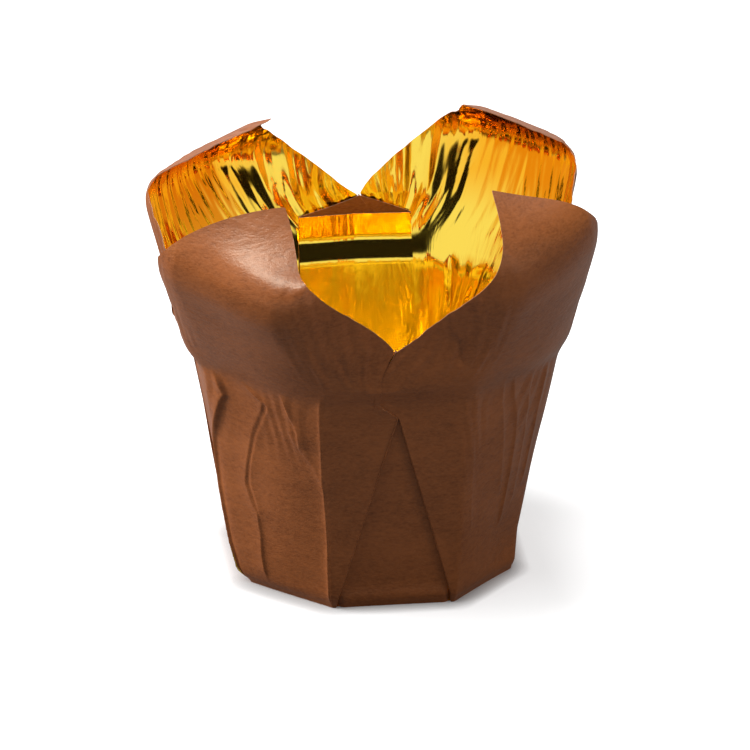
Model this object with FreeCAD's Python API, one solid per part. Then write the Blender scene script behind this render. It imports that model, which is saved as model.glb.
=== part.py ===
import FreeCAD, Part
import math
import os

# A lotus cupcake liner: one square sheet of laminated paper folded into an octagonal cup.
# Each corner of the sheet stands up as a petal, and each side is taken in by an inverted box
# pleat, which has three layers: the petal panels meet in front, a hem lies folded behind each
# of them, and the underlay closes the wall at the back.
# Millimetres, Z up. The origin is the middle of the base, on its underside.
# The front pleat looks along -Y.

V = FreeCAD.Vector
ROOT_HALF = math.sqrt(0.5)

# Driving dimensions
SIZES = {
    "paper": 0.2,                 # thickness of the laminate
    "layer_gap": 0.2,             # air between two folded layers
    "base_pleat_half": 11.4,      # half a pleat side of the octagonal base
    "base_pleat_reach": 24.5,     # from the axis to a pleat side of the base
    "apex_rise": 40.0,            # where the two fold edges of a pleat meet
    "step_above_apex": 2.9,       # where the wall turns out
    "shoulder_above_step": 3.4,   # where the step ends
    "notch_above_shoulder": 8.1,  # top of the folds between two petals
    "underlay_above_shoulder": 4.7,
    "step_reach": 32.3,           # from the axis to the pleat at the step
    "shoulder_reach": 34.5,
    "notch_reach": 35.0,
    "step_bulge": 34.9,           # from the axis to the middle of a petal panel at the step
    "shoulder_bulge": 37.3,
    "left_push": 2.3,             # the left pleat stands this much further out at the shoulder
    "crease_half": 13.3,          # from the middle of a pleat to the panel's crease, at the top
    "crease_drop": 0.9,           # how far the panel falls back from the pleat to that crease
    "fold_start": 0.7,            # width of a hem at the base
    "fold_slit": 0.15,            # half the slit between two fold edges
    "hem_margin": 0.2,            # from the base vertex to the hem's fold
    "hem_half_top": 10.3,         # half the underlay's width at its top
    "tip_band": 2.0,              # height of the flat triangle that ends a petal
    "thinnest_band": 0.7,         # bands of the curl closer than this to another row are left out
    "normal_reach": 0.4,          # half the distance over which the paper's slope is measured
}

# Each petal was bent by hand: lean outward, curl inward at the top, where the curl starts above
# the notch and how long it runs, how the bend slants from side to side, how the lean and the curl
# grow from side to side, sideways sway, width spread, tip height, tip offset and panel bulge
PETALS = {
    "front_left": {"lean": 30.5, "curl": 62.2, "start": 9.9, "run": 14.4, "slant": -0.14,
                   "lean_twist": 2.7, "curl_twist": 44.6, "sway": 1.7, "spread": -0.01,
                   "tip": 36.5, "offset": 1.1, "bulge": -1.6},
    "front_right": {"lean": 21.9, "curl": 57.8, "start": 10.0, "run": 19.2, "slant": 0.28,
                    "lean_twist": -6.3, "curl_twist": 38.9, "sway": -7.3, "spread": 0.17,
                    "tip": 34.7, "offset": -0.4, "bulge": -2.0},
    "back_left": {"lean": 36.9, "curl": 58.7, "start": 6.2, "run": 10.5, "slant": 0.03,
                  "lean_twist": -19.5, "curl_twist": 17.6, "sway": -4.4, "spread": 0.09,
                  "tip": 30.5, "offset": -4.8, "bulge": -1.2},
    "back_right": {"lean": 32.8, "curl": 58.4, "start": 8.9, "run": 10.5, "slant": -0.02,
                   "lean_twist": 13.3, "curl_twist": 2.5, "sway": 3.6, "spread": 0.18,
                   "tip": 32.2, "offset": 1.1, "bulge": -1.6},
}
# Bearing of each petal from the front, and the pleats on its clockwise and its other side
PETAL_BEARING = {"front_left": -45.0, "front_right": 45.0, "back_right": 135.0,
                 "back_left": 225.0}
PUSHED_HALVES = (("front_left", -1), ("back_left", 1))

# The sheet is built in bands, ruled upward between smooth rows of points: steps of a row across
# a panel and across half a pleat, bands of the lower wall and bands of a petal's curl
PANEL_STEP_COUNT = 10
PLEAT_STEP_COUNT = 3
WALL_BAND_COUNT = 3
CURL_BAND_COUNT = 9


def write_sheet(doc):
    """Put every driving dimension into the document's spreadsheet."""
    sheet = doc.addObject("Spreadsheet::Sheet", "sizes")
    cells = dict(SIZES)
    for petal, shape in PETALS.items():
        for name, value in shape.items():
            cells[petal + "_" + name] = value
    for row, (name, value) in enumerate(cells.items(), 1):
        sheet.set("A%d" % row, name)
        sheet.set("B%d" % row, str(value))
        sheet.setAlias("B%d" % row, name)
    doc.recompute()
    return sheet


doc = FreeCAD.newDocument("cupcake_liner")
sizes = write_sheet(doc)


def size(name):
    return float(sizes.get(name))


PAPER = size("paper")
GAP = size("layer_gap")
STEP_RISE = size("apex_rise") + size("step_above_apex")
SHOULDER_RISE = STEP_RISE + size("shoulder_above_step")
NOTCH_RISE = SHOULDER_RISE + size("notch_above_shoulder")
UNDERLAY_RISE = SHOULDER_RISE + size("underlay_above_shoulder")
UNDERLAY_OUT = 2 * PAPER + 2 * GAP
HEM_OUT = PAPER + GAP
HEM_IN = 2 * PAPER + GAP
NOTCH_LEAN = math.atan2(size("notch_reach") - size("shoulder_reach"),
                        size("notch_above_shoulder"))
NOTCH_FIBRE = math.hypot(size("notch_reach") - size("shoulder_reach"),
                         size("notch_above_shoulder"))


def ease(x):
    """Smooth step from 0 to 1."""
    x = min(max(x, 0.0), 1.0)
    return x * x * (3 - 2 * x)


def between(low, high, share):
    return low + (high - low) * share


def stretch(start, end, steps):
    return [between(start, end, index / steps) for index in range(steps + 1)]


def fold_at(rise):
    """Distance of a fold edge from the middle of the pleat."""
    start = size("base_pleat_half") - size("hem_margin") - size("fold_start")
    return between(start, size("fold_slit"), min(rise / size("apex_rise"), 1.0))


def hem_at(rise):
    """Distance of a hem's fold from the middle of the pleat."""
    start = size("base_pleat_half") - size("hem_margin")
    return between(start, size("hem_half_top"), rise / UNDERLAY_RISE)


class Level:
    """Plan section at one height: half a pleat, a flat, and half a petal panel, an arc."""

    def __init__(self, rise, reach, bulge, crease, drop):
        self.rise = rise
        self.reach = reach
        self.bulge = bulge
        self.crease = crease
        self.drop = drop
        self.fold = fold_at(rise)
        self.hem = hem_at(rise)

    def pleat(self, along, depth):
        """Point of the pleat: along from its middle, depth inward. Returns out, side."""
        reach = self.reach - self.drop * along / self.crease - depth
        return (along + reach) * ROOT_HALF, (reach - along) * ROOT_HALF

    def panel(self, share, depth):
        """Point of the petal panel: share 0 at its middle, 1 at the crease."""
        corner_out, corner_side = self.pleat(self.crease, depth)
        if self.rise == 0:
            return corner_out, corner_side * share
        middle_out = self.bulge - depth
        sag = middle_out - corner_out
        if abs(sag) < 0.01:
            return middle_out - sag * share, corner_side * share
        radius = (corner_side ** 2 + sag ** 2) / (2 * sag)
        angle = math.asin(corner_side / radius) * share
        return middle_out - radius * (1 - math.cos(angle)), radius * math.sin(angle)

    def lengths(self):
        """Length of the panel's arc and of the pleat's flat."""
        corner_out, corner_side = self.pleat(self.crease, 0.0)
        sag = self.bulge - corner_out
        radius = (corner_side ** 2 + sag ** 2) / (2 * sag)
        return radius * math.asin(corner_side / radius), math.hypot(self.crease, self.drop)


def half_levels(bulge, push):
    """Levels of half a petal with its half pleat: the lower wall from the base to the folds'
    apex, then the step and the shoulder."""
    half = size("base_pleat_half")
    reach = size("base_pleat_reach")
    base = Level(0.0, reach, (half + reach) * ROOT_HALF, half, 0.0)
    share = STEP_RISE / SHOULDER_RISE
    step = Level(STEP_RISE, size("step_reach") + push * 0.8 * share,
                 size("step_bulge") + bulge, size("crease_half"), size("crease_drop"))
    shoulder = Level(SHOULDER_RISE, size("shoulder_reach") + push,
                     size("shoulder_bulge") + bulge, size("crease_half"), size("crease_drop"))
    wall = []
    for share in stretch(0.0, size("apex_rise") / STEP_RISE, WALL_BAND_COUNT):
        wall.append(Level(step.rise * share, between(base.reach, step.reach, share),
                          between(base.bulge, step.bulge, share) - 0.2 * share,
                          between(base.crease, step.crease, share), step.drop * share))
    return wall + [step, shoulder]


class Petal:
    """A petal with its panel of the wall and a half pleat on either side of it.

    A mark says how far a point is across it: 0 at the middle of the panel, 0.5 at the crease and
    1 at the fold edge; marks are negative on the clockwise side."""

    def __init__(self, name):
        bearing = math.radians(PETAL_BEARING[name])
        self.out_axis = V(math.sin(bearing), -math.cos(bearing), 0)
        self.side_axis = V(math.cos(bearing), math.sin(bearing), 0)
        self.lean = math.radians(size(name + "_lean"))
        self.curl = math.radians(size(name + "_curl"))
        self.start = size(name + "_start")
        self.run = size(name + "_run")
        self.slant = size(name + "_slant")
        self.lean_twist = math.radians(size(name + "_lean_twist"))
        self.curl_twist = math.radians(size(name + "_curl_twist"))
        self.sway = size(name + "_sway")
        self.spread = size(name + "_spread")
        self.tip = size(name + "_tip")
        self.offset = size(name + "_offset")
        self.levels = {}
        self.lengths = {}
        for hand in (-1, 1):
            push = size("left_push") if (name, hand) in PUSHED_HALVES else 0.0
            self.levels[hand] = half_levels(size(name + "_bulge"), push)
            self.lengths[hand] = self.levels[hand][-1].lengths()
        self.left_crease = -self.lengths[-1][0]
        self.right_crease = self.lengths[1][0]

    def place(self, out, side, rise):
        spot = self.out_axis * out + self.side_axis * side
        return V(spot.x, spot.y, rise)

    def end_arc(self, hand, depth):
        """Signed length along the shoulder from the panel's middle to the fold edge."""
        panel, chord = self.lengths[hand]
        crease = self.levels[hand][-1].crease
        return hand * (panel + chord * (1 - (size("fold_slit") + depth) / crease))

    def wall_point(self, index, mark, depth):
        """Point of the wall's outer layer at one of its levels."""
        hand = 1 if mark > 0 else -1
        level = self.levels[hand][index]
        span = abs(mark)
        if span <= 0.5:
            out, side = level.panel(span * 2, depth)
        else:
            out, side = level.pleat(between(level.crease, level.fold + depth, span * 2 - 1),
                                    depth)
        rise = PAPER if depth > 0 and index == 0 else level.rise
        return self.place(out, side * hand, rise)

    def fibre_length(self, arc):
        """From the shoulder up to the sheet's cut edge, which has its corner at the tip."""
        hand = 1 if arc > self.offset else -1
        whole = sum(self.lengths[hand]) - hand * self.offset
        away = abs(arc - self.offset)
        return NOTCH_FIBRE + self.tip - away + (whole - self.tip) * ease(away / whole)

    def cut_arc(self, hand, walked, depth):
        """Arc length at which the cut edge crosses the row at a length up the fibres."""
        low = self.offset
        high = self.end_arc(hand, depth)
        if walked <= NOTCH_FIBRE:
            return high
        for _ in range(40):
            middle = (low + high) / 2
            if self.fibre_length(middle) > walked:
                low = middle
            else:
                high = middle
        return low

    def petal_point(self, arc, walked):
        """Outer face of the petal: a fibre rises from the shoulder at each arc length, and the
        point adds up the sine and cosine of the fibre's tilt over the length walked up it."""
        hand = 1 if arc > 0 else -1
        shoulder = self.levels[hand][-1]
        panel, chord = self.lengths[hand]
        span = abs(arc)
        if span <= panel:
            out, side = shoulder.panel(span / panel, 0.0)
        else:
            out, side = shoulder.pleat((panel + chord - span) * shoulder.crease / chord, 0.0)
        side *= hand
        rise = shoulder.rise
        pleat_share = ease((span / (panel + chord) - 0.35) / 0.65)
        cross = arc / (panel + chord)
        lean = between(self.lean + self.lean_twist * cross, NOTCH_LEAN, pleat_share)
        curl = self.curl + self.curl_twist * cross
        pieces = 60
        for piece in range(pieces):
            height = walked * (piece + 0.5) / pieces
            bend = ease((height - NOTCH_FIBRE - self.start - self.slant * arc) / self.run)
            tilt = between(lean, -curl, bend)
            out += math.sin(tilt) * walked / pieces
            rise += math.cos(tilt) * walked / pieces
        above = max(walked - NOTCH_FIBRE, 0.0) / self.tip
        return self.place(out, side * (1 + self.spread * above) + self.sway * above ** 2, rise)

    def petal_inner_point(self, arc, walked):
        """The same spot on the gold side, one paper thickness in."""
        near = size("normal_reach")
        across = self.petal_point(arc + near, walked) - self.petal_point(arc - near, walked)
        up = (self.petal_point(arc, walked + near)
              - self.petal_point(arc, max(walked - near, 0.0)))
        normal = across.cross(up)
        normal.normalize()
        return self.petal_point(arc, walked) - normal * PAPER

    def heights(self):
        """Lengths up the fibres at which the bands of the petal meet. One row passes through
        each point where the cut edge crosses a crease."""
        crossings = [self.fibre_length(self.left_crease), self.fibre_length(self.right_crease)]
        first = NOTCH_FIBRE + self.start - abs(self.slant) * size("crease_half")
        last = NOTCH_FIBRE + self.start + self.run + abs(self.slant) * size("crease_half")
        top = NOTCH_FIBRE + self.tip - size("tip_band")
        rows = [0.0, NOTCH_FIBRE] + crossings + [top]
        for height in stretch(first, min(last, top), CURL_BAND_COUNT):
            if min(abs(height - row) for row in rows) > size("thinnest_band"):
                rows.append(height)
        return sorted(rows)


def interpolate(points):
    """Poles, knots and degree of a curve through the points, evenly spaced in its parameter."""
    if len(points) == 2:
        return points, [0.0, 1.0], [2, 2], 1
    curve = Part.BSplineCurve()
    marks = [index / (len(points) - 1) for index in range(len(points))]
    curve.interpolate(Points=points, Parameters=marks)
    return curve.getPoles(), curve.getKnots(), curve.getMultiplicities(), curve.Degree


def strips(rows):
    """Ruled faces side by side through a grid of points, which has its rows across the strips."""
    return [skin([row[column:column + 2] for row in rows]) for column in range(len(rows[0]) - 1)]


def skin(rows):
    """Face through a grid of points. Two faces that share an edge's points share that edge."""
    across = [interpolate(row) for row in rows]
    columns = list(zip(*[item[0] for item in across]))
    upward = [interpolate(list(column)) for column in columns]
    surface = Part.BSplineSurface()
    surface.buildFromPolesMultsKnots(
        [item[0] for item in upward], across[0][2], upward[0][2],
        across[0][1], upward[0][1], False, False, across[0][3], upward[0][3])
    return surface.toShape()


def pleat_profile(level, face):
    """Zigzag of a half pleat from its middle to the fold edge, as along and depth."""
    hem = level.hem
    fold = level.fold
    if face == "brown":
        return [(0.0, UNDERLAY_OUT), (hem - PAPER, UNDERLAY_OUT), (hem - PAPER, HEM_IN),
                (fold, HEM_IN), (fold, 0.0)]
    return [(0.0, UNDERLAY_OUT + PAPER), (hem, UNDERLAY_OUT + PAPER), (hem, HEM_OUT),
            (fold + PAPER, HEM_OUT), (fold + PAPER, PAPER)]


def zigzags(petal, hand, face):
    """The zigzag at each level and along the layers' top edges, which run level along the
    underlay and rise along the hem to the notch."""
    rows = []
    for index, level in enumerate(petal.levels[hand]):
        rise = PAPER if face == "gold" and index == 0 else level.rise
        spots = []
        for along, depth in pleat_profile(level, face):
            out, side = level.pleat(along, depth)
            spots.append(petal.place(out, side * hand, rise))
        rows.append(spots)
    low = UNDERLAY_RISE
    high = NOTCH_RISE
    shoulder = petal.levels[hand][-1]
    spots = []
    for (along, depth), rise in zip(pleat_profile(shoulder, face), (low, low, low, high, high)):
        out, side = shoulder.pleat(along, depth)
        lean = (rise - shoulder.rise) * math.tan(NOTCH_LEAN) * ROOT_HALF
        spots.append(petal.place(out + lean, (side + lean) * hand, rise))
    rows.append(spots)
    return rows


def spread_row(start, end, steps, point):
    return [point(arc) for arc in stretch(start, end, steps)]


def wall_rows(petal, depth):
    """Rows of the wall's outer layer, each in three stretches: half pleat, panel, half pleat."""
    rows = []
    marks = stretch(0.5, 1.0, PLEAT_STEP_COUNT)
    for index in range(len(petal.levels[1])):
        left = [petal.wall_point(index, -mark, depth) for mark in marks[::-1]]
        right = [petal.wall_point(index, mark, depth) for mark in marks]
        middle = []
        for arc in stretch(petal.left_crease, petal.right_crease, PANEL_STEP_COUNT):
            crease = petal.right_crease if arc > 0 else -petal.left_crease
            middle.append(petal.wall_point(index, 0.5 * arc / crease, depth))
        rows.append([left, middle, right])
    return rows


def petal_rows(petal, depth, folds):
    """Rows of the petal above the shoulder, in the same three stretches. A stretch that the cut
    edge has closed is left empty."""
    rows = []
    for height in petal.heights()[1:]:
        def point(arc, height=height):
            if depth > 0:
                return petal.petal_inner_point(arc, height)
            return petal.petal_point(arc, height)
        start = petal.cut_arc(-1, height, depth)
        end = petal.cut_arc(1, height, depth)
        left = []
        right = []
        if start < petal.left_crease - 0.001:
            left = spread_row(start, petal.left_crease, PLEAT_STEP_COUNT, point)
        if end > petal.right_crease + 0.001:
            right = spread_row(petal.right_crease, end, PLEAT_STEP_COUNT, point)
        middle = spread_row(max(start, petal.left_crease), min(end, petal.right_crease),
                            PANEL_STEP_COUNT, point)
        rows.append([left, middle, right])
    # the fold edges end at the notch together with the hems
    rows[0][0][0] = folds[-1]
    rows[0][2][-1] = folds[1]
    return rows


def close_rows(rows, tip):
    """Straighten the last row below each point where a stretch closes, so that a flat triangle
    ends the stretch."""
    for index, row in enumerate(rows):
        for part in range(3):
            ends = index + 1 == len(rows) or not rows[index + 1][part]
            if row[part] and ends:
                row[part] = stretch(row[part][0], row[part][-1], len(row[part]) - 1)
    faces = []
    for lower, upper in zip(rows, rows[1:] + [[[], [tip], []]]):
        for part in range(3):
            if not lower[part]:
                continue
            if len(upper[part]) == len(lower[part]):
                faces.append(skin([lower[part], upper[part]]))
                continue
            apex = upper[1][-1] if part == 2 else upper[1][0]
            corners = [lower[part][0], lower[part][-1], apex]
            faces.append(Part.Face(Part.makePolygon(corners + corners[:1])))
    return faces


def cut_edge(rows, tip):
    """The sheet's edge from one notch over the tip to the other."""
    left = [(row[0] or row[1])[0] for row in rows]
    right = [(row[2] or row[1])[-1] for row in rows]
    return left + [tip] + right[::-1]


def petal_faces(petal):
    """All faces of one petal: brown outside, gold inside and the cut edge between them."""
    faces = []
    edges = {}
    tip_height = NOTCH_FIBRE + petal.tip
    for face in ("brown", "gold"):
        depth = PAPER if face == "gold" else 0.0
        folds = {}
        edges[face] = []
        for hand in (-1, 1):
            rows = zigzags(petal, hand, face)
            for lower, upper in zip(rows, rows[1:]):
                faces += strips([lower, upper])
            folds[hand] = rows[-1][-1]
            edges[face].append(rows[-1])
        wall = wall_rows(petal, depth)
        upper = petal_rows(petal, depth, folds)
        point = petal.petal_inner_point if depth > 0 else petal.petal_point
        tip = point(petal.offset, tip_height)
        faces += close_rows(wall + upper, tip)
        edges[face].append(cut_edge(upper, tip))
    for brown, gold in zip(edges["brown"], edges["gold"]):
        faces += strips([brown, gold])
    return faces


def base_face(petals, face):
    """Flat base panel: its underside in brown or its upper side in gold."""
    depth = PAPER if face == "gold" else 0.0
    corners = []
    for petal in petals:
        corners += zigzags(petal, -1, face)[0]
        corners += [petal.wall_point(0, mark, depth) for mark in (-0.5, 0.5)]
        corners += zigzags(petal, 1, face)[0][:0:-1]
    return Part.Face(Part.makePolygon(corners + corners[:1]))


def build_liner():
    """Sew all faces into the one solid that the folded sheet is."""
    petals = [Petal(name) for name in ("front_left", "front_right", "back_right", "back_left")]
    faces = [base_face(petals, "brown"), base_face(petals, "gold")]
    for petal in petals:
        faces += petal_faces(petal)
    shell = Part.makeShell(faces)
    shell.sewShape(0.002)
    solid = Part.makeSolid(Part.Shell(shell.Faces))
    if solid.Volume < 0:
        solid.reverse()
    return solid


liner = doc.addObject("Part::Feature", "liner")
liner.Label = "liner"
liner.Shape = build_liner()
liner.Placement = FreeCAD.Placement(V(0, 0, 0), FreeCAD.Rotation(0, 0, 0))
doc.recompute()

for item in doc.Objects:
    if "Invalid" in item.State or "Error" in item.State:
        raise RuntimeError(item.Name + " failed to build")
for item in [liner]:
    if item.Shape.isNull() or not item.Shape.isValid():
        raise RuntimeError(item.Label + " has no valid shape")
    if len(item.Shape.Solids) != 1:
        raise RuntimeError(item.Label + " is not one solid")

os.makedirs("parts", exist_ok=True)
for item in [liner]:
    item.Shape.exportStep("parts/" + item.Label + ".step")
    box = item.Shape.BoundBox
    print(item.Label, "volume %.1f mm3" % item.Shape.Volume,
          "box %.2f..%.2f %.2f..%.2f %.2f..%.2f" % (box.XMin, box.XMax, box.YMin, box.YMax,
                                                     box.ZMin, box.ZMax))
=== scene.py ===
import math

import bpy
import numpy as np
from mathutils import Matrix, Vector


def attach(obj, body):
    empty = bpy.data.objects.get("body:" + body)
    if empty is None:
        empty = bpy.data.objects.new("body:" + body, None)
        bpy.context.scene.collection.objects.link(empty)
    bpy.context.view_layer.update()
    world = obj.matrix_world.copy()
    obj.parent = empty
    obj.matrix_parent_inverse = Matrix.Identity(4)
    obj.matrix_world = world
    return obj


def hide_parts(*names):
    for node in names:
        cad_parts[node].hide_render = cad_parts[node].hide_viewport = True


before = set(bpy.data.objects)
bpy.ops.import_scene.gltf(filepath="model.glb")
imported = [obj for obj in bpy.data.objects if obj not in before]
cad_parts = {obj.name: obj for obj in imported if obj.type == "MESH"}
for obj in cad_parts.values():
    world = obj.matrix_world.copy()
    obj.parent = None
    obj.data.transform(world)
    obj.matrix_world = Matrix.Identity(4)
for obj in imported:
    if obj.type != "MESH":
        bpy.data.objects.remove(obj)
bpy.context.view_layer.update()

# The liner is worked out in millimetres in the part's frame and scaled to metres at the end.
MM = 0.001
ROOT_HALF = math.sqrt(0.5)

# Rises and sizes of the wall, as in the solid. The step is where the wall turns out, and the
# notch is the top of the folds between two petals. A panel is APEX_DENT flatter at the apex of
# the folds, and the left pleat stands LEFT_PUSH farther out at the shoulder.
APEX, STEP, SHOULDER, NOTCH, UNDERLAY_TOP = 40.0, 42.9, 46.3, 54.4, 51.0
BASE_HALF, BASE_REACH = 11.4, 24.5
STEP_REACH, SHOULDER_REACH, NOTCH_REACH = 32.3, 34.5, 35.0
STEP_BULGE, SHOULDER_BULGE = 34.9, 37.3
APEX_DENT = 0.2
CREASE_HALF, CREASE_DROP = 13.3, 0.9
FOLD_SLIT, HEM_TOP = 0.15, 10.3
LEFT_PUSH, STEP_PUSH = 2.3, 0.8
NOTCH_LEAN = math.atan2(NOTCH_REACH - SHOULDER_REACH, NOTCH - SHOULDER)
NOTCH_FIBRE = math.hypot(NOTCH_REACH - SHOULDER_REACH, NOTCH - SHOULDER)
# At the base a fold edge starts 0.4 mm nearer to the corner than in the solid, and a hem's own
# fold 0.2 mm farther from it
FOLD_BASE, HEM_BASE = 10.9, 11.0
# Thickness of the sheet here, and the room that each folded layer and the air next to it take
PAPER = 0.12
LAYER = 0.2
GAP = 0.25
HEM_IN = 2 * LAYER + GAP
HEM_OUT = HEM_IN - PAPER
UNDERLAY_OUT = 2 * (LAYER + GAP)

# How each petal was bent by hand, as in the solid: lean outward, curl inward, where the curl
# starts above the notch and how long it runs, the bend's slant, twists of lean and curl, sway,
# spread, and the tip's height and offset. "pushed" is the side with the left pleat. "rolled" is
# a turn of the last few millimetres, which reaches across the petal up to "rolled_to".
PETALS = {
    "front_left": dict(bearing=-45.0, lean=30.5, curl=62.2, start=9.9, run=14.4, slant=-0.14,
                       lean_twist=2.7, curl_twist=44.6, sway=1.7, spread=-0.01, tip=36.5,
                       offset=1.1, bulge=-1.6, pushed=-1, rolled=0.0, rolled_to=1.0),
    "front_right": dict(bearing=45.0, lean=21.9, curl=57.8, start=10.0, run=19.2, slant=0.28,
                        lean_twist=-6.3, curl_twist=38.9, sway=-7.3, spread=0.17, tip=34.7,
                        offset=-0.4, bulge=-2.0, pushed=0, rolled=0.0, rolled_to=1.0),
    "back_left": dict(bearing=225.0, lean=36.9, curl=58.7, start=6.2, run=10.5, slant=0.03,
                      lean_twist=-19.5, curl_twist=17.6, sway=-4.4, spread=0.09, tip=30.5,
                      offset=-4.8, bulge=-1.2, pushed=1, rolled=16.0, rolled_to=0.0),
    "back_right": dict(bearing=135.0, lean=32.8, curl=58.4, start=8.9, run=10.5, slant=-0.02,
                       lean_twist=13.3, curl_twist=2.5, sway=3.6, spread=0.18, tip=32.2,
                       offset=1.1, bulge=-1.6, pushed=0, rolled=12.0, rolled_to=1.0),
}

# Sharp folds that the hand left in the paper. Each has its line as points of mark and height, how
# far the ridge stands out, the width of its flanks and how much wider one flank is than the other.
# MARK_WIDTH is about the length of one mark along the paper.
MARK_WIDTH = 22.0
FOLDS = {
    "front_left": [
        ([(0.47, 44.5), (0.47, 38.6), (0.48, 26.2), (0.50, 13.9), (0.49, 1.5)], 0.5, 0.5, 0.2),
        ([(-0.17, 43.6), (-0.01, 40.9), (-0.03, 38.6), (-0.13, 33.2), (-0.21, 26.6),
          (-0.25, 22.4), (-0.21, 18.9), (-0.16, 16.6), (-0.15, 11.6), (-0.18, 3.0)],
         0.42, 1.1, 0.7),
        ([(-0.12, 42.5), (0.04, 40.4), (0.01, 38.0), (-0.09, 33.0), (-0.17, 26.6),
          (-0.20, 22.4), (-0.16, 18.9), (-0.12, 15.0)], 0.3, 0.9, -0.7),
        ([(-0.39, 43.2), (-0.34, 40.1), (-0.43, 35.1), (-0.54, 29.0), (-0.60, 22.0),
          (-0.62, 13.0), (-0.66, 6.0), (-0.70, 1.2)], 0.8, 1.1, 0.7),
        ([(0.17, 43.6), (0.24, 39.4), (0.29, 36.0), (0.30, 33.0)], 0.6, 1.0, -0.7),
        ([(0.17, 37.5), (0.30, 33.0), (0.40, 30.0), (0.49, 25.0)], 0.4, 1.6, -0.4),
    ],
    "front_right": [
        ([(-0.47, 45.5), (-0.43, 33.6), (-0.38, 20.4), (-0.36, 14.0)], 0.13, 1.0, 0.2),
        ([(-0.20, 44.0), (-0.10, 32.5), (0.02, 19.0)], 0.25, 1.0, 0.6),
        ([(-0.10, 43.8), (0.04, 33.6), (0.09, 22.8), (0.12, 12.2)], 0.35, 0.9, -0.6),
        ([(0.12, 43.0), (0.19, 30.1), (0.24, 15.4)], 0.3, 1.0, 0.5),
        ([(0.31, 42.5), (0.33, 32.8), (0.35, 18.4)], 0.35, 1.0, -0.5),
        ([(-0.70, 58.0), (-0.65, 54.1), (-0.61, 50.9)], -0.5, 0.6, 0.5),
        ([(0.72, 43.5), (0.80, 36.0), (0.86, 30.0)], 0.9, 1.2, 0.3),
    ],
    "back_left": [
        ([(0.30, 44.0), (0.22, 33.0), (0.26, 20.0), (0.20, 8.0)], 0.6, 1.1, 0.6),
        ([(-0.15, 43.5), (-0.05, 36.0), (-0.12, 25.0)], 0.5, 1.0, -0.6),
        ([(-0.48, 44.5), (-0.48, 26.2), (-0.50, 2.5)], 0.45, 0.5, 0.2),
    ],
    "back_right": [
        ([(-0.30, 44.0), (-0.38, 33.0), (-0.31, 20.0), (-0.35, 8.0)], 0.6, 1.1, 0.6),
        ([(0.05, 43.5), (0.12, 36.0), (0.08, 25.0)], 0.5, 1.0, -0.6),
        ([(0.33, 44.0), (0.30, 34.0), (0.36, 24.0)], 0.4, 1.0, 0.6),
    ],
}

# Near the base the sides stand a little to the left and the whole liner a little forward
LEAN_RISE = [0.0, 3.0, 8.0, 20.0, 30.0, 45.0]
LEAN_X = [-0.8, -1.3, -1.6, -1.1, -0.5, 0.0]
LEAN_Y = [-1.8, -1.7, -1.5, -0.9, -0.5, 0.0]
# The sides' shift sets in this far from the middle and is full after the run
SIDE_START, SIDE_RUN = 8, 14
# Above the folds' apex the left petal's edge gives way and the right one's reaches under it
SEAM_REACH = 3.3
SEAM_LAP = 1.3
SEAM_DEPTH = 0.32
# The foot of the wall rounds in towards the base, and with it the base outside FOOT_START
FOOT_INSET = 0.9
FOOT_RISE = 3.2
FOOT_START, FOOT_RUN = 15, 5
# Heights of the small relief in the paper, and the share of the crinkles that a back petal also
# has in its middle
SWELL_RISE = 0.16
GATHER_RISE = 0.1
CRINKLE_RISE = 0.13
BACK_CRINKLE = 0.45
# Steps of a petal's grid: across, up to the folds' apex, from there to the shoulder, and above it
PETAL_ACROSS = 240
WALL_ROWS = 60
STEP_ROWS = 30
PETAL_ROWS = 100
# Steps of the pleats' and the base's grids
PLEAT_ROWS = 80
FOLD_ROWS = 100
FOLD_STEPS = 9
HEM_STEPS = 12
UNDERLAY_STEPS = 41
RIM_STEPS = 9
BASE_RINGS = 12
# Texture units per millimetre of paper
UV_SCALE = 0.01
# Pieces in which a fibre's tilt is added up
FIBRE_PIECES = 60
# Rounds of averaging that soften the creases and the step, and the rises between which the
# step is softened
CREASE_ROUNDS = 70
STEP_ROUNDS = 60
SOFT_FROM, SOFT_TO, SOFT_RUN = 38, 50, 3
# Places of the sheet's three looks among a mesh's materials
BROWN, GOLD, CUT = 0, 1, 2


def ease(x):
    """Smooth step from 0 to 1."""
    x = np.clip(x, 0.0, 1.0)
    return x * x * (3 - 2 * x)


def between(low, high, share):
    """The value at a share of the way from low to high."""
    return low + (high - low) * share


class Section:
    """Plan section of half a petal with its half pleat at any rise: the sizes run straight
    from the base to the step and on to the shoulder."""

    def __init__(self, bulge, push):
        step_push = push * STEP_PUSH * STEP / SHOULDER
        base_bulge = (BASE_HALF + BASE_REACH) * ROOT_HALF
        apex = APEX / STEP
        step_bulge = STEP_BULGE + bulge
        self.rises = [0.0, APEX, STEP, SHOULDER]
        self.reach = [BASE_REACH, between(BASE_REACH, STEP_REACH + step_push, apex),
                      STEP_REACH + step_push, SHOULDER_REACH + push]
        self.bulge = [base_bulge, between(base_bulge, step_bulge, apex) - APEX_DENT, step_bulge,
                      SHOULDER_BULGE + bulge]
        self.crease = [BASE_HALF, between(BASE_HALF, CREASE_HALF, apex), CREASE_HALF,
                       CREASE_HALF]
        self.drop = [0.0, CREASE_DROP * apex, CREASE_DROP, CREASE_DROP]

    def at(self, rise):
        """Reach, bulge, crease and drop at a rise."""
        return [np.interp(rise, self.rises, values)
                for values in (self.reach, self.bulge, self.crease, self.drop)]


def fold_at(rise):
    """Distance of a fold edge from the middle of the pleat."""
    return between(FOLD_BASE, FOLD_SLIT, np.clip(rise / APEX, 0, 1))


def hem_at(rise):
    """Distance of a hem's fold from the middle of the pleat."""
    return between(HEM_BASE, HEM_TOP, rise / UNDERLAY_TOP)


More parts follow.
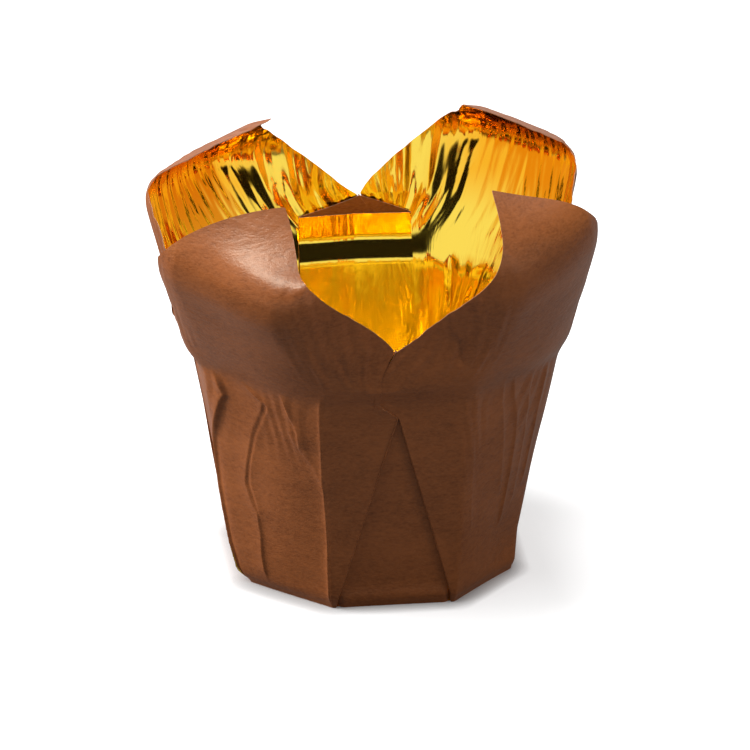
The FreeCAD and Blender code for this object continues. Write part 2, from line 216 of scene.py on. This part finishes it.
def pleat_point(level, along, depth):
    """Point of a pleat, in the petal's out and side axes."""
    reach = level[0] - level[3] * along / level[2] - depth
    return (along + reach) * ROOT_HALF, (reach - along) * ROOT_HALF


def panel_arc(level):
    """Radius and half angle of the petal panel's arc at a level."""
    corner_out, corner_side = pleat_point(level, level[2], 0.0)
    sag = np.maximum(level[1] - corner_out, 0.004)
    radius = (corner_side ** 2 + sag ** 2) / (2 * sag)
    return radius, np.arcsin(corner_side / radius)


def half_point(level, rise, span):
    """Point of half the wall's outer layer: span 0 at the petal's middle, 0.5 at the crease
    and 1 at the fold edge."""
    radius, half_angle = panel_arc(level)
    angle = half_angle * np.clip(span / 0.5, 0, 1)
    along = between(level[2], fold_at(rise), np.clip((span - 0.5) / 0.5, 0, 1))
    front_out, front_side = pleat_point(level, along, 0.0)
    on_front = span > 0.5
    out = np.where(on_front, front_out, level[1] - radius * (1 - np.cos(angle)))
    side = np.where(on_front, front_side, radius * np.sin(angle))
    return out, side


def fold_line(mark, height, fold):
    """Relief of one sharp fold: it falls off exponentially on either side of its line and
    fades out at both ends."""
    points, raised, width, skew = fold
    line = np.array(sorted(points, key=lambda point: point[1]))
    offset = (mark - np.interp(height, line[:, 1], line[:, 0])) * MARK_WIDTH
    flank = width * np.where(offset < 0, 1 + skew, 1 - skew)
    ends = ease((height - line[0, 1]) / 3 + 0.3) * ease((line[-1, 1] - height) / 3 + 0.3)
    return raised * np.exp(-np.abs(offset) / flank) * ends


def zigzag(x):
    """Triangle wave between -1 and 1 with a period of 1."""
    return 4 * np.abs(x - np.floor(x + 0.5)) - 1


def swells(turn, arc, height):
    """Slow waves all over the paper."""
    wave = (np.sin(arc / 4.1 + 0.11 * height + turn) * np.sin(height / 7.3 + 0.7 * turn)
            + np.sin(arc / 7.7 - 0.07 * height + 2.0 * turn))
    return SWELL_RISE * wave * ease(height / 6)


def gathers(turn, mark, arc, height):
    """Small pleats just under the step, on the panels only."""
    there = ease((height - 26) / 10) * ease((45 - height) / 4)
    there = there * (1 - ease((np.abs(mark) - 0.5) / 0.1)) * (0.5 + 0.5 * np.sin(arc / 3.3))
    return GATHER_RISE * there * zigzag(arc / 3.1 + 0.6 * np.sin(height / 5.0 + arc / 6 + turn))


def crinkles(petal, turn, mark, arc, height):
    """Creases that run up from the notches, on the back petals also in their middle."""
    middle = BACK_CRINKLE if abs(petal.bearing) > 90 else 0.0
    there = between(middle, 1.0, ease((np.abs(mark) - 0.3) / 0.3)) * ease((height - 46) / 6)
    lean = arc + 0.12 * np.sign(arc) * (height - 46)
    wave = (zigzag(lean / 2.9 + 0.35 * np.sin(height / 6.0 + turn))
            + 0.6 * zigzag(lean / 1.7 + 0.5 * np.sin(height / 4.1 + 3 * turn)))
    return CRINKLE_RISE * there * wave * (1 - ease((np.abs(mark) - 0.93) / 0.07))


def relief(petal, mark, arc, height):
    """How far the paper stands out from its smooth form."""
    turn = math.radians(petal.bearing) * 2.0
    out = sum(fold_line(mark, height, fold) for fold in FOLDS[petal.name])
    out = out + swells(turn, arc, height)
    out = out + gathers(turn, mark, arc, height)
    return out + crinkles(petal, turn, mark, arc, height)


def seam_bend(height):
    """How far the seam of a pleat wanders from the middle of the pleat above the apex."""
    return ease((height - 39.5) / 3.5) * ease((57.5 - height) / 10)


def seam_shift(hand, height):
    """Move of a fold edge along the pleat, away from the pleat's middle, and its depth."""
    bend = seam_bend(height)
    if hand > 0:
        return SEAM_REACH * bend, np.zeros_like(bend)
    return -(SEAM_REACH + SEAM_LAP) * bend, SEAM_DEPTH * ease((height - 37.5) / 3)


def settle(points):
    """Last step of every piece: the base's shift, and walls that round in to the base."""
    rise = points[..., 2]
    moved = points.copy()
    aside = ease((np.abs(points[..., 0]) - SIDE_START) / SIDE_RUN)
    moved[..., 0] += np.interp(rise, LEAN_RISE, LEAN_X) * aside
    moved[..., 1] += np.interp(rise, LEAN_RISE, LEAN_Y)
    inset = FOOT_INSET * (1 - ease(rise / FOOT_RISE)) ** 2
    reach = np.maximum(np.hypot(points[..., 0], points[..., 1]), 0.001)
    rim = ease((reach - FOOT_START) / FOOT_RUN)
    moved[..., 0] -= points[..., 0] / reach * inset * rim
    moved[..., 1] -= points[..., 1] / reach * inset * rim
    return moved


class Petal:
    """One quarter of the liner: a petal with its panel of the wall and a half pleat on either
    side. A mark is 0 at the panel's middle, 0.5 at the crease and 1 at the fold edge, and is
    negative on the clockwise side."""

    def __init__(self, name):
        self.__dict__.update(PETALS[name])
        self.name = name
        self.halves = {}
        self.panel = {}
        self.chord = {}
        for hand in (-1, 1):
            push = LEFT_PUSH if self.pushed == hand else 0.0
            self.halves[hand] = Section(self.bulge, push)
            level = self.halves[hand].at(SHOULDER)
            radius, half_angle = panel_arc(level)
            self.panel[hand] = float(radius * half_angle)
            self.chord[hand] = math.hypot(level[2], level[3])

    def wall(self, mark, rise):
        """Out and side of the wall below the shoulder."""
        span = np.abs(mark)
        left_out, left_side = half_point(self.halves[-1].at(rise), rise, span)
        right_out, right_side = half_point(self.halves[1].at(rise), rise, span)
        on_right = mark > 0
        return (np.where(on_right, right_out, left_out),
                np.where(on_right, right_side, -left_side))

    def hand_value(self, mark, values):
        """The value that belongs to the side on which each mark is."""
        return np.where(mark > 0, values[1], values[-1])

    def arc(self, mark):
        """Signed length along the shoulder from the panel's middle."""
        span = np.abs(mark)
        panel = self.hand_value(mark, self.panel)
        chord = self.hand_value(mark, self.chord)
        left = between(CREASE_HALF, FOLD_SLIT, np.clip((span - 0.5) / 0.5, 0, 1))
        arc = np.where(span > 0.5, panel + chord * (1 - left / CREASE_HALF), panel * span / 0.5)
        return np.where(mark > 0, arc, -arc)

    def fibre_length(self, arc):
        """From the shoulder up to the sheet's cut edge, which has its corner at the tip."""
        hand = np.where(arc > self.offset, 1, -1)
        whole = np.where(arc > self.offset, self.panel[1] + self.chord[1],
                         self.panel[-1] + self.chord[-1]) - hand * self.offset
        away = np.abs(arc - self.offset)
        return NOTCH_FIBRE + self.tip - away + (whole - self.tip) * ease(away / whole)

    def above(self, mark, walked):
        """Out, side and rise above the shoulder. A fibre rises from the shoulder at each mark,
        leans outward and curls inward: the point adds up the sine and cosine of its tilt."""
        arc = self.arc(mark)
        out, side = self.wall(mark, np.full_like(mark, SHOULDER))
        whole = self.hand_value(mark, self.panel) + self.hand_value(mark, self.chord)
        cross = arc / whole
        lean = between(np.radians(self.lean) + np.radians(self.lean_twist) * cross, NOTCH_LEAN,
                       ease((np.abs(cross) - 0.35) / 0.65))
        curl = np.radians(self.curl) + np.radians(self.curl_twist) * cross
        edge = self.fibre_length(arc)
        rolled = np.radians(self.rolled) * (1 - ease((np.abs(cross) - 0.3) / 0.5))
        rolled = rolled * ease((self.rolled_to - cross) / 0.3 + 0.5)
        rise = np.full_like(out, SHOULDER)
        for piece in range(FIBRE_PIECES):
            height = walked * (piece + 0.5) / FIBRE_PIECES
            bend = ease((height - NOTCH_FIBRE - self.start - self.slant * arc) / self.run)
            tilt = between(lean, -curl, bend) - rolled * ease((height - edge + 6) / 4)
            out = out + np.sin(tilt) * walked / FIBRE_PIECES
            rise = rise + np.cos(tilt) * walked / FIBRE_PIECES
        share = np.maximum(walked - NOTCH_FIBRE, 0) / self.tip
        return out, side * (1 + self.spread * share) + self.sway * share ** 2, rise

    def seam(self, mark, out, side, height):
        """Bring a fold edge and the paper next to it to the bent seam."""
        span = ease((np.abs(mark) - 0.62) / 0.38)
        right_along, _ = seam_shift(1, height)
        left_along, left_depth = seam_shift(-1, height)
        along = np.where(mark > 0, right_along, left_along) * span
        depth = np.where(mark > 0, 0.0, left_depth) * span
        hand = np.where(mark > 0, 1, -1)
        return out + (along - depth) * ROOT_HALF, side - (along + depth) * ROOT_HALF * hand

    def place(self, out, side, rise):
        """Out and side of the petal to the part's X and Y."""
        bearing = math.radians(self.bearing)
        x = out * math.sin(bearing) + side * math.cos(bearing)
        y = -out * math.cos(bearing) + side * math.sin(bearing)
        return np.stack([x, y, rise + 0 * out], -1)


def grid_normals(points):
    """Unit normals of a grid, by central differences along both of its directions."""
    along = np.gradient(points, axis=0)
    up = np.gradient(points, axis=1)
    normal = np.cross(along, up)
    return normal / np.maximum(np.linalg.norm(normal, axis=-1, keepdims=True), 1e-9)


class MeshParts:
    """Collects grids of points into one mesh with UVs and a material to each face."""

    def __init__(self):
        self.points, self.faces, self.uvs, self.slots = [], [], [], []
        self.count = 0

    def grid(self, points, uv, slot, flip=False):
        """Add a grid of points as quads with one material; flip turns its front round."""
        rows, columns = points.shape[:2]
        index = np.arange(rows * columns).reshape(rows, columns) + self.count
        quads = np.stack([index[:-1, :-1], index[1:, :-1], index[1:, 1:], index[:-1, 1:]], -1)
        quads = quads.reshape(-1, 4)
        if flip:
            quads = quads[:, ::-1]
        self.points.append(points.reshape(-1, 3))
        self.uvs.append(uv.reshape(-1, 2))
        self.faces.append(quads)
        self.slots.append(np.full(len(quads), slot))
        self.count += rows * columns

    def slab(self, brown, gold, uv, rims="tblr"):
        """A sheet from its brown and its gold grid, closed along the rims that are named: top,
        bottom, left and right."""
        cuts = {"t": np.s_[:, -1], "b": np.s_[:, 0], "l": np.s_[0], "r": np.s_[-1]}
        self.grid(brown, uv, BROWN)
        self.grid(gold, uv, GOLD, flip=True)
        for rim in rims:
            cut = cuts[rim]
            self.grid(np.stack([brown[cut], gold[cut]], 1), np.stack([uv[cut]] * 2, 1), CUT,
                      flip=rim in "br")

    def handed_slab(self, hand, brown, gold, uv):
        """A sheet on one side of a pleat, turned so that it faces the same way on both."""
        self.slab(brown[::hand], gold[::hand], uv[::hand])

    def build(self, name, materials):
        """Make the object, in metres."""
        points = np.concatenate(self.points) * MM
        faces = np.concatenate(self.faces)
        slots = np.concatenate(self.slots)
        uvs = np.concatenate(self.uvs)
        mesh = bpy.data.meshes.new(name)
        mesh.vertices.add(len(points))
        mesh.vertices.foreach_set("co", points.ravel())
        mesh.loops.add(faces.size)
        mesh.loops.foreach_set("vertex_index", faces.ravel())
        mesh.polygons.add(len(faces))
        mesh.polygons.foreach_set("loop_start", np.arange(len(faces)) * 4)
        mesh.polygons.foreach_set("material_index", slots)
        mesh.polygons.foreach_set("use_smooth", np.ones(len(faces), bool))
        layer = mesh.uv_layers.new(name="sheet")
        layer.uv.foreach_set("vector", uvs[faces.ravel()].ravel())
        for material in materials:
            mesh.materials.append(material)
        mesh.update(calc_edges=True)
        mesh.validate()
        piece = bpy.data.objects.new(name, mesh)
        bpy.context.collection.objects.link(piece)
        return piece


def relax(points, weight, rounds):
    """Draw each point towards the middle of its neighbours along the first axis, in place."""
    weight = weight[1:-1, :, None]
    for _ in range(rounds):
        middle = (points[2:] + points[:-2]) / 2
        points[1:-1] += weight * (middle - points[1:-1]) * 0.5


def soften(points, marks, height, petal):
    """Round the wall's creases and its step, apart from the one sharp front crease."""
    weight = ease((0.2 - np.abs(np.abs(marks) - 0.5)) / 0.1)
    if petal.name == "front_left":
        weight = weight * (marks < 0)
    relax(points, weight, CREASE_ROUNDS)
    weight = ease((height - SOFT_FROM) / SOFT_RUN) * ease((SOFT_TO - height) / SOFT_RUN)
    weight = weight * (1 - ease((np.abs(marks) - 0.8) / 0.12))
    relax(points.swapaxes(0, 1), weight.T, STEP_ROUNDS)


def petal_grid(petal):
    """Outer layer of one quarter of the liner, from the base to the petal's cut edge."""
    mark = np.linspace(-1, 1, PETAL_ACROSS + 1)
    rises = np.concatenate([np.linspace(0, APEX, WALL_ROWS, endpoint=False),
                            np.linspace(APEX, SHOULDER, STEP_ROWS)])
    wall_mark, wall_rise = np.meshgrid(mark, rises, indexing="ij")
    out, side = petal.wall(wall_mark, wall_rise)
    wall = petal.place(*petal.seam(wall_mark, out, side, wall_rise), wall_rise)
    share = np.linspace(0, 1, PETAL_ROWS + 1)[1:]
    top_mark, top_share = np.meshgrid(mark, share, indexing="ij")
    walked = petal.fibre_length(petal.arc(top_mark)) * top_share
    out, side, rise = petal.above(top_mark, walked)
    top = petal.place(*petal.seam(top_mark, out, side, SHOULDER + walked), rise)
    points = np.concatenate([wall, top], axis=1)
    marks = np.concatenate([wall_mark, top_mark], axis=1)
    arc = petal.arc(marks)
    height = np.concatenate([wall_rise, SHOULDER + walked], axis=1)
    soften(points, marks, height, petal)
    raised = relief(petal, marks, arc, height)
    points = points + grid_normals(points) * raised[..., None]
    uv = np.stack([arc, height], -1) * UV_SCALE
    return points, uv


def build_petal(petal, materials):
    """One petal panel from the base to the cut edge, brown outside and gold inside."""
    parts = MeshParts()
    outer, uv = petal_grid(petal)
    inner = outer - grid_normals(outer) * PAPER
    parts.slab(settle(outer), settle(inner), uv)
    return parts.build("liner_" + petal.name, materials)


def layer_point(petal, hand, along, depth, rise):
    """Out and side of a hem or an underlay, which lean with the notch above the shoulder."""
    level = petal.halves[hand].at(np.minimum(rise, SHOULDER))
    out, side = pleat_point(level, along, depth)
    lean = np.maximum(rise - SHOULDER, 0) * math.tan(NOTCH_LEAN) * ROOT_HALF
    return out + lean, (side + lean) * hand


def build_fold(parts, petal, hand):
    """The paper's turn from the panel round the fold edge into the hem: half a tube."""
    turn, row = np.meshgrid(np.linspace(0, math.pi, FOLD_STEPS), np.linspace(0, 1, FOLD_ROWS),
                            indexing="ij")
    rise = row * NOTCH
    shift, lower = seam_shift(hand, rise)
    sheets = []
    for radius in (HEM_IN / 2, HEM_IN / 2 - PAPER):
        along = fold_at(rise) + shift - radius * 0.6 * np.sin(turn)
        depth = HEM_IN / 2 - radius * np.cos(turn) + lower
        out, side = layer_point(petal, hand, along, depth, rise)
        sheets.append(settle(petal.place(out, side, rise)))
    parts.handed_slab(hand, sheets[0], sheets[1], np.stack([turn, rise], -1) * UV_SCALE)


def build_hem(parts, petal, hand, rows):
    """A hem from the fold edge, share 0, to its own fold, share 1. Its gold side faces out."""
    share, row = np.meshgrid(np.linspace(0, 1, HEM_STEPS), rows, indexing="ij")
    rise = row * between(NOTCH, UNDERLAY_TOP, share)
    shift, lower = seam_shift(hand, rise)
    along = between(fold_at(rise) + shift, hem_at(rise), share)
    sheets = []
    for depth in (HEM_IN, HEM_OUT):
        out, side = layer_point(petal, hand, along, depth + lower * (1 - share), rise)
        sheets.append(settle(petal.place(out, side, rise)))
    parts.handed_slab(hand, sheets[0], sheets[1], np.stack([along, rise], -1) * UV_SCALE)


def build_underlay(parts, left_petal, right_petal, rows):
    """The sheet behind a pleat, from the left petal's half to the right one's. In its open
    middle it starts right at the base's rim."""
    mark, row = np.meshgrid(np.linspace(-1, 1, UNDERLAY_STEPS), rows, indexing="ij")
    rise = row * UNDERLAY_TOP
    along = np.abs(mark) * hem_at(rise)
    behind = np.maximum(ease(rise / 5), ease((along - fold_at(rise) + 1.5) / 1.5))
    sheets = []
    for inset in (0.0, PAPER):
        depth = between(inset, UNDERLAY_OUT + inset, behind)
        out, side = layer_point(left_petal, 1, along, depth, rise)
        left = left_petal.place(out, side, rise)
        out, side = layer_point(right_petal, -1, along, depth, rise)
        right = right_petal.place(out, side, rise)
        sheets.append(settle(np.where((mark < 0)[..., None], left, right)))
    parts.slab(sheets[0], sheets[1], np.stack([mark * hem_at(rise), rise], -1) * UV_SCALE)


def build_base(parts, petals):
    """The octagonal base: rings from its softened rim to the middle."""
    corners = []
    for petal in petals.values():
        out, side = pleat_point((BASE_REACH, 0.0, BASE_HALF, 0.0), BASE_HALF, 0.0)
        for hand in (-1, 1):
            corners.append(petal.place(np.array(out), np.array(side * hand), 0.0)[:2])
    corners = np.array(corners + corners[:1])
    share = np.linspace(0, 1, RIM_STEPS)[:-1, None]
    rim = np.concatenate([between(start, end, share)
                          for start, end in zip(corners[:-1], corners[1:])])
    for _ in range(2):
        rim = (np.roll(rim, 1, axis=0) + 2 * rim + np.roll(rim, -1, axis=0)) / 4
    rim = np.concatenate([rim, rim[:1]])
    ring = np.linspace(1, 0.002, BASE_RINGS)
    flat = rim[:, None, :] * ring[None, :, None]
    under = settle(np.concatenate([flat, np.zeros_like(flat[..., :1])], -1))
    parts.slab(under, under + np.array([0, 0, PAPER]), flat * UV_SCALE, "tb")


def build_pleats(petals, materials):
    """Hems, folds and underlays of the four pleats, with the base."""
    parts = MeshParts()
    rows = np.linspace(0, 1, PLEAT_ROWS)
    for petal in petals.values():
        for hand in (-1, 1):
            build_hem(parts, petal, hand, rows)
            build_fold(parts, petal, hand)
    round_trip = list(petals.values())
    for left_petal, right_petal in zip(round_trip, round_trip[1:] + round_trip[:1]):
        build_underlay(parts, left_petal, right_petal, rows)
    build_base(parts, petals)
    return parts.build("liner_pleats_base", materials)


class Socket:
    """A shader value that takes part in Python expressions; operators add Math nodes."""

    def __init__(self, shader, link):
        self.shader = shader
        self.link = link

    def _math(self, operation, first, second):
        return self.shader.node("ShaderNodeMath", dict(operation=operation), {0: first, 1: second})

    def __add__(self, other):
        return self._math("ADD", self, other)

    def __sub__(self, other):
        return self._math("SUBTRACT", self, other)

    def __mul__(self, other):
        return self._math("MULTIPLY", self, other)

    def __pow__(self, other):
        return self._math("POWER", self, other)


class Shader:
    """The node tree of a material or a world: node adds any node, and the methods after it add
    the ones that are used most."""

    def __init__(self, owner):
        owner.use_nodes = True
        self.owner = owner
        self.tree = owner.node_tree
        self.tree.nodes.clear()

    def node(self, kind, settings=None, inputs=None, output=0):
        """Add a node with its settings and inputs, and hand back one of its outputs."""
        made = self.tree.nodes.new(kind)
        for key, value in (settings or {}).items():
            setattr(made, key, value)
        for key, value in (inputs or {}).items():
            if isinstance(value, Socket):
                self.tree.links.new(value.link, made.inputs[key])
            else:
                made.inputs[key].default_value = value
        return Socket(self, made.outputs[output])

    def scaled(self, vector, by):
        return self.node("ShaderNodeVectorMath", dict(operation="MULTIPLY"), {0: vector, 1: by})

    def noise(self, place_on, scale, detail, **more):
        return self.node("ShaderNodeTexNoise", None,
                         {"Vector": place_on, "Scale": scale, "Detail": detail, **more})

    def mix_color(self, share, first, second):
        return self.node("ShaderNodeMix", dict(data_type="RGBA"),
                         {"Factor": share, "A": first, "B": second}, output=2)

    def smooth_range(self, value, start, end):
        return self.node("ShaderNodeMapRange", dict(interpolation_type="SMOOTHSTEP"),
                         {"Value": value, "From Min": start, "From Max": end})

    def greater(self, first, second):
        return self.node("ShaderNodeMath", dict(operation="MAXIMUM"), {0: first, 1: second})

    def seen_by(self, ray):
        return self.node("ShaderNodeLightPath", output="Is %s Ray" % ray)

    def finish(self, surface, kind="Material"):
        out = self.tree.nodes.new("ShaderNodeOutput" + kind)
        self.tree.links.new(surface.link, out.inputs["Surface"])
        return self.owner


def new_material(name):
    """A shader for a new material of this name."""
    return Shader(bpy.data.materials.new(name))


def brown_paper():
    """Matt chocolate paper with fibre grain, soft clouds and a faint satin sheen."""
    shader = new_material("brown_paper")
    place_on = shader.scaled(shader.node("ShaderNodeTexCoord", output="Object"), (1.0, 1.0, 2.2))
    grain = shader.noise(place_on, 1600.0, 3.0)
    fibre = shader.noise(place_on, 700.0, 4.0, Distortion=0.4)
    cloud = shader.noise(place_on, 60.0, 3.0)
    tone = shader.mix_color((cloud * 0.5 + fibre * 0.5 - 0.33) * 3.0,
                            (0.15, 0.041, 0.0105, 1), (0.285, 0.085, 0.0228, 1))
    color = shader.mix_color((grain - 0.38) * 2.2, tone, (0.27, 0.088, 0.028, 1))
    wrinkle = shader.noise(place_on, 130.0, 2.0, Distortion=1.2)
    bump = shader.node("ShaderNodeBump", None, {"Height": grain * 0.7 + fibre + wrinkle * 1.8,
                                                "Strength": 0.42, "Distance": 0.00013})
    surface = shader.node("ShaderNodeBsdfPrincipled", None,
                          {"Base Color": color, "Roughness": 0.36, "Specular IOR Level": 0.4,
                           "Specular Tint": (1.0, 0.86, 0.68, 1), "Normal": bump})
    return shader.finish(surface)


def gold_film():
    """Mirror film with streaks along the fibres and slow waves. Its colour varies by place as
    painted reflection: amber on the petals' middle for the deeper reflections there, and yellower
    near the notches and down in the cup for the brighter ones."""
    shader = new_material("gold_film")
    sheet = shader.node("ShaderNodeUVMap", dict(uv_map="sheet"))
    along = shader.scaled(sheet, (1.0, 0.22, 1.0))
    streak = shader.noise(along, 42.0, 3.0, Roughness=0.55, Distortion=0.6)
    wave = shader.noise(along, 9.0, 2.0, Distortion=0.3)
    bump = shader.node("ShaderNodeBump", None, {"Height": streak * 0.16 + wave, "Strength": 0.5,
                                                "Distance": 0.0012})
    across = shader.node("ShaderNodeSeparateXYZ", None, {0: sheet})
    aside = shader.node("ShaderNodeMath", dict(operation="ABSOLUTE"), {0: across})
    height = shader.node("ShaderNodeVectorMath", dict(operation="DOT_PRODUCT"),
                         {0: sheet, 1: (0, 1, 0)}, output="Value")
    # Painted reflection: these masks make the film's colour yellower near the notches and low in
    # the cup, where it shows brighter reflections, and leave it a deeper amber elsewhere, where it
    # shows darker ones.
    painted_reflection_near_notch = shader.smooth_range(aside + streak * 0.08, 0.13, 0.24)
    low = shader.smooth_range(height, 0.62, 0.5)
    painted_reflection_colour = shader.mix_color(shader.greater(painted_reflection_near_notch, low), (0.95, 0.45, 0.02, 1),
                               (0.97, 0.7, 0.09, 1))
    surface = shader.node("ShaderNodeBsdfPrincipled", None,
                          {"Base Color": painted_reflection_colour, "Metallic": 1.0, "Roughness": 0.11,
                           "Normal": bump})
    return shader.finish(surface)


def cut_edge():
    """The sheet's cut edge: plain brown."""
    shader = new_material("cut_edge")
    surface = shader.node("ShaderNodeBsdfPrincipled", None,
                          {"Base Color": (0.3, 0.13, 0.06, 1), "Roughness": 0.7})
    return shader.finish(surface)


materials = [brown_paper(), gold_film(), cut_edge()]
petals = {name: Petal(name) for name in ("front_left", "front_right", "back_right", "back_left")}
pieces = [build_petal(petal, materials) for petal in petals.values()]
pieces.append(build_pleats(petals, materials))
for piece in pieces:
    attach(piece, "root")
    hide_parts("liner")


def flat_sheet(name, width, height):
    """A rectangle round the origin in its own XY plane."""
    mesh = bpy.data.meshes.new(name)
    mesh.from_pydata([(-width / 2, -height / 2, 0), (width / 2, -height / 2, 0),
                      (width / 2, height / 2, 0), (-width / 2, height / 2, 0)], [],
                     [(0, 1, 2, 3)])
    sheet = bpy.data.objects.new(name, mesh)
    bpy.context.collection.objects.link(sheet)
    return sheet


def build_floor():
    """A wide plane that is white where the camera sees it and keeps the object's shadow. Close
    to the object its glow falls off, which leaves the contact shadow."""
    floor = flat_sheet("floor", 6.0, 6.0)
    shader = new_material("floor_white")
    camera_ray = shader.seen_by("Camera")
    gloss = shader.seen_by("Glossy")
    tone = shader.mix_color(camera_ray, (0.14, 0.14, 0.14, 1), (0.6, 0.6, 0.6, 1))
    diffuse = shader.node("ShaderNodeBsdfDiffuse", None, {"Color": tone})
    clear = shader.node("ShaderNodeAmbientOcclusion", dict(samples=8), {"Distance": 0.0036},
                        output="AO")
    glow = shader.node("ShaderNodeEmission", None,
                       {"Color": (1, 1, 1, 1),
                        "Strength": camera_ray * (clear ** 3 * 0.58 + 0.04) + gloss * 0.06})
    both = shader.node("ShaderNodeAddShader", None, {0: diffuse, 1: glow})
    floor.data.materials.append(shader.finish(both))
    return floor


def build_world():
    """White to camera, glossy and transmission rays, and dimmer as a light."""
    world = bpy.data.worlds.new("studio")
    shader = Shader(world)
    seen = shader.greater(shader.greater(shader.seen_by("Camera"), shader.seen_by("Glossy")),
                          shader.seen_by("Transmission"))
    dim, white = [shader.node("ShaderNodeBackground", None,
                              {"Color": (1, 1, 1, 1), "Strength": strength})
                  for strength in (0.31, 1.0)]
    shader.finish(shader.node("ShaderNodeMixShader", None, {0: seen, 1: dim, 2: white}), "World")
    return world


# Heights on the liner's axis that the lights and the cards face
LIGHT_AIM = 0.045
CARD_AIM = 0.05


def toward(azimuth, elevation):
    """Unit vector from the liner, with the azimuth counted from the front to the right."""
    turn = math.radians(azimuth)
    tilt = math.radians(elevation)
    return Vector((math.sin(turn) * math.cos(tilt), -math.cos(turn) * math.cos(tilt),
                   math.sin(tilt)))


def stand(thing, middle, back, distance):
    """Put a lamp, card or camera at a distance from the middle, with its Z axis along back."""
    thing.matrix_world = (Matrix.Translation(middle + back * distance)
                          @ back.to_track_quat("Z", "Y").to_matrix().to_4x4())


def soft_light(name, azimuth, elevation, distance, width, power, mirrored=True):
    """A square soft box that looks at the liner; mirrored says whether the film shows it."""
    lamp = bpy.data.lights.new(name, "AREA")
    lamp.size = width
    lamp.energy = power
    lamp_object = bpy.data.objects.new(name, lamp)
    stand(lamp_object, Vector((0, 0, LIGHT_AIM)), toward(azimuth, elevation), distance)
    lamp_object.visible_glossy = mirrored
    bpy.context.collection.objects.link(lamp_object)


def toned_card(name, azimuth, elevation, width, height, core, shade):
    """A card outside the view, which only reflections show. It is solid up to the share core
    of its half width and clears softly to its rim."""
    card = flat_sheet(name, width, height)
    stand(card, Vector((0, 0, CARD_AIM)), toward(azimuth, elevation), 1.0)
    shader = new_material(name)
    place_on = shader.scaled(shader.node("ShaderNodeTexCoord", output="Object"),
                             (2 / width, 2 / height, 0))
    away = shader.node("ShaderNodeVectorMath", dict(operation="LENGTH"), {0: place_on},
                       output="Value")
    solid = shader.node("ShaderNodeEmission", None, {"Color": (*shade, 1)})
    nothing = shader.node("ShaderNodeBsdfTransparent")
    card.data.materials.append(shader.finish(shader.node("ShaderNodeMixShader", None, {
        0: shader.smooth_range(away, core, 1.0), 1: solid, 2: nothing})))
    card.visible_diffuse = False
    card.visible_shadow = False
    card.visible_camera = False


build_floor()
bpy.context.scene.world = build_world()

soft_light("overhead", -170.0, 83.0, 1.0, 0.34, 9.8)
soft_light("overhead_fill", -60.0, 60.0, 1.0, 0.4, 3.0, mirrored=False)
soft_light("left_key", -104.0, 17.0, 1.2, 0.7, 21.0, mirrored=False)
soft_light("right_fill", 60.0, 8.0, 1.2, 0.5, 3.2, mirrored=False)

toned_card("front_card", 2.0, 42.0, 1.7, 0.6, 0.6, (0.012, 0.01, 0.008))
toned_card("left_card", -104.0, 10.0, 2.2, 1.3, 0.2, (0.85, 0.52, 0.14))
toned_card("low_left_card", -72.0, -2.0, 1.3, 0.8, 0.3, (0.16, 0.08, 0.04))
toned_card("right_card", 100.0, 20.0, 2.2, 1.4, 0.35, (0.72, 0.36, 0.1))

# Camera: a long lens, 3 m away, that looks down at the liner from a little left of the pleat
VIEW_TURN = -7.0
VIEW_DOWN = 24.69
VIEW_DISTANCE = 3.0
VIEW_SHIFT = -0.00035
VIEW_HEIGHT = 0.034
PIXELS_PER_METRE = 5526.0
FRAME_PIXELS = 750
right = Vector((math.cos(math.radians(VIEW_TURN)), math.sin(math.radians(VIEW_TURN)), 0))
camera_data = bpy.data.cameras.new("camera")
camera_data.sensor_width = 36.0
camera_data.lens = PIXELS_PER_METRE * VIEW_DISTANCE / FRAME_PIXELS * camera_data.sensor_width
camera_data.clip_end = 20.0
camera = bpy.data.objects.new("camera", camera_data)
stand(camera, right * VIEW_SHIFT + Vector((0, 0, VIEW_HEIGHT)), toward(VIEW_TURN, VIEW_DOWN),
      VIEW_DISTANCE)
bpy.context.collection.objects.link(camera)
bpy.context.scene.camera = camera
bpy.context.scene.view_settings.view_transform = "Standard"
